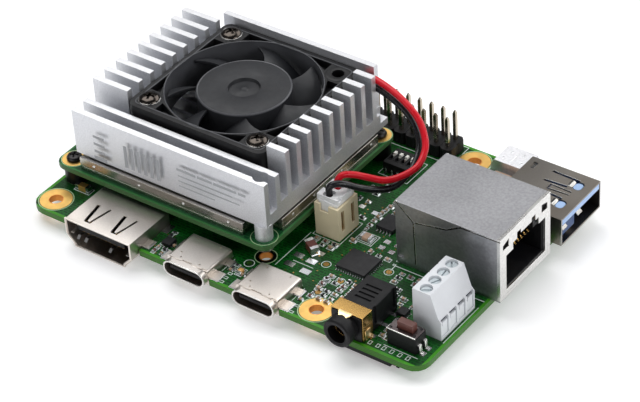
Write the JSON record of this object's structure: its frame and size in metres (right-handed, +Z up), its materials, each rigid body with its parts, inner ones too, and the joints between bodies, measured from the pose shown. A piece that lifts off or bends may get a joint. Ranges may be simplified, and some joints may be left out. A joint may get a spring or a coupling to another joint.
{
  "type": "single board computer",
  "caption": "Bare single board computer: a carrier board with sockets, pin header and screw terminal, and a processor module under a finned heat sink with a small fan.",
  "frame": {"origin": "centre of the carrier board's underside, on its raised datum pad", "axes": "+Z up through the heat sink, +X along the long edge from the display socket to the network sockets, +Y from the front socket edge to the pin header"},
  "size_m": [0.0875, 0.0595, 0.0226],
  "materials": {
    "solder_mask": "dark green solder mask over laminate",
    "module_mask": "green solder mask, paler edge",
    "nickel_shell": "bright nickel plated steel",
    "lan_shell": "satin tin plated steel",
    "dark_shell": "dull brownish plated steel",
    "black_plastic": "moulded black",
    "blue_plastic": "moulded blue",
    "gold_clip": "gold flashed spring metal",
    "switch_plate": "pressed steel",
    "button_plastic": "reddish brown, moulded",
    "terminal_plastic": "light grey, moulded",
    "zinc_screw": "zinc plated",
    "slider_plastic": "off-white, moulded",
    "cream_plastic": "cream nylon",
    "white_plastic": "white nylon, slightly translucent",
    "red_wire": "red insulation",
    "black_wire": "black insulation",
    "can_steel": "satin tinned shield",
    "thermal_pad": "soft grey pad",
    "black_metal": "black oxide",
    "bead_blasted": "bead blasted, clear anodised",
    "steel_screw": "plain steel",
    "fan_plastic": "dark grey, moulded",
    "bronze": "sintered bronze",
    "copper_core": "enamelled winding",
    "magnet": "bonded ferrite"
  },
  "bodies": {
    "board": {"baseboard_pcb": "solder_mask", "hdmi_shell": "nickel_shell", "hdmi_insert": "black_plastic", "usb_c_shell_1": "nickel_shell", "usb_c_tongue_1": "black_plastic", "usb_c_shell_2": "nickel_shell", "usb_c_tongue_2": "black_plastic", "audio_jack_body": "black_plastic", "audio_jack_clip": "gold_clip", "reset_switch_body": "black_plastic", "reset_switch_cover": "switch_plate", "terminal_housing": "terminal_plastic", "ethernet_shell": "lan_shell", "ethernet_insert": "black_plastic", "usb_a_shell": "dark_shell", "usb_a_tongue": "blue_plastic", "micro_usb_shell": "nickel_shell", "micro_usb_tongue": "black_plastic", "gpio_header": "black_plastic", "dip_switch_body": "black_plastic", "fan_socket": "cream_plastic", "fan_plug": "white_plastic", "fan_wire_red": "red_wire", "fan_wire_black": "black_wire", "module_pcb": "module_mask", "module_shield": "can_steel", "module_processor": "black_plastic", "heat_sink_pad": "thermal_pad", "stack_connector_front": "black_plastic", "stack_connector_back": "black_plastic", "spacer_front": "black_metal", "spacer_back": "black_metal", "module_screw_front": "black_metal", "module_screw_back": "black_metal", "heat_sink": "bead_blasted", "heat_sink_screw": "steel_screw", "fan_frame": "fan_plastic", "fan_bearing": "bronze", "fan_stator": "copper_core", "fan_screw_1": "steel_screw", "fan_screw_2": "steel_screw", "fan_screw_3": "steel_screw", "ribbon_socket": "black_plastic", "card_slot": "nickel_shell"},
    "fan_rotor": {"fan_rotor": "fan_plastic", "fan_magnet": "magnet"},
    "reset_button": {"reset_button": "button_plastic"},
    "ribbon_latch": {"ribbon_latch": "fan_plastic"},
    "terminal_screw_1": {"terminal_screw_1": "zinc_screw"},
    "terminal_clamp_1": {"terminal_clamp_1": "zinc_screw"},
    "dip_slider_1": {"dip_slider_1": "slider_plastic"},
    "terminal_screw_2": {"terminal_screw_2": "zinc_screw"},
    "terminal_clamp_2": {"terminal_clamp_2": "zinc_screw"},
    "dip_slider_2": {"dip_slider_2": "slider_plastic"},
    "terminal_screw_3": {"terminal_screw_3": "zinc_screw"},
    "terminal_clamp_3": {"terminal_clamp_3": "zinc_screw"},
    "dip_slider_3": {"dip_slider_3": "slider_plastic"},
    "terminal_screw_4": {"terminal_screw_4": "zinc_screw"},
    "terminal_clamp_4": {"terminal_clamp_4": "zinc_screw"},
    "dip_slider_4": {"dip_slider_4": "slider_plastic"}
  },
  "joints": [
    {"name": "fan_spin", "type": "hinge", "parent": "board", "child": "fan_rotor", "pos_m": [-0.0147, 0.0018, 0.01625], "axis": [0, 0, 1], "continuous": true},
    {"name": "reset_press", "type": "slide", "parent": "board", "child": "reset_button", "axis": [0, 0, -1], "range_m": [0, 0.00025], "stiffness_N_per_m": 8},
    {"name": "ribbon_latch_turn", "type": "hinge", "parent": "board", "child": "ribbon_latch", "pos_m": [0.0305, -0.02605, -0.00117], "axis": [1, 0, 0], "range_deg": [0, 90]},
    {"name": "terminal_screw_turn_1", "type": "hinge", "parent": "board", "child": "terminal_screw_1", "pos_m": [0.0378, -0.01873, 0.00915], "axis": [0, 0, -1], "range_deg": [0, 360]},
    {"name": "terminal_clamp_rise_1", "type": "slide", "parent": "board", "child": "terminal_clamp_1", "axis": [0, 0, 1], "range_m": [0, 0.0004]},
    {"name": "terminal_screw_turn_2", "type": "hinge", "parent": "board", "child": "terminal_screw_2", "pos_m": [0.0378, -0.01619, 0.00915], "axis": [0, 0, -1], "range_deg": [0, 360]},
    {"name": "terminal_clamp_rise_2", "type": "slide", "parent": "board", "child": "terminal_clamp_2", "axis": [0, 0, 1], "range_m": [0, 0.0004]},
    {"name": "terminal_screw_turn_3", "type": "hinge", "parent": "board", "child": "terminal_screw_3", "pos_m": [0.0378, -0.01365, 0.00915], "axis": [0, 0, -1], "range_deg": [0, 360]},
    {"name": "terminal_clamp_rise_3", "type": "slide", "parent": "board", "child": "terminal_clamp_3", "axis": [0, 0, 1], "range_m": [0, 0.0004]},
    {"name": "terminal_screw_turn_4", "type": "hinge", "parent": "board", "child": "terminal_screw_4", "pos_m": [0.0378, -0.01111, 0.00915], "axis": [0, 0, -1], "range_deg": [0, 360]},
    {"name": "terminal_clamp_rise_4", "type": "slide", "parent": "board", "child": "terminal_clamp_4", "axis": [0, 0, 1], "range_m": [0, 0.0004]},
    {"name": "dip_slide_1", "type": "slide", "parent": "board", "child": "dip_slider_1", "axis": [0, -1, 0], "range_m": [0, 0.0011]},
    {"name": "dip_slide_2", "type": "slide", "parent": "board", "child": "dip_slider_2", "axis": [0, -1, 0], "range_m": [0, 0.0011]},
    {"name": "dip_slide_3", "type": "slide", "parent": "board", "child": "dip_slider_3", "axis": [0, -1, 0], "range_m": [0, 0.0011]},
    {"name": "dip_slide_4", "type": "slide", "parent": "board", "child": "dip_slider_4", "axis": [0, -1, 0], "range_m": [0, 0.0011]}
  ],
  "couplings": [
    {"joint": "terminal_screw_turn_1", "follows": "terminal_clamp_rise_1", "rad_per_m": 15707},
    {"joint": "terminal_screw_turn_2", "follows": "terminal_clamp_rise_2", "rad_per_m": 15707},
    {"joint": "terminal_screw_turn_3", "follows": "terminal_clamp_rise_3", "rad_per_m": 15707},
    {"joint": "terminal_screw_turn_4", "follows": "terminal_clamp_rise_4", "rad_per_m": 15707}
  ]
}
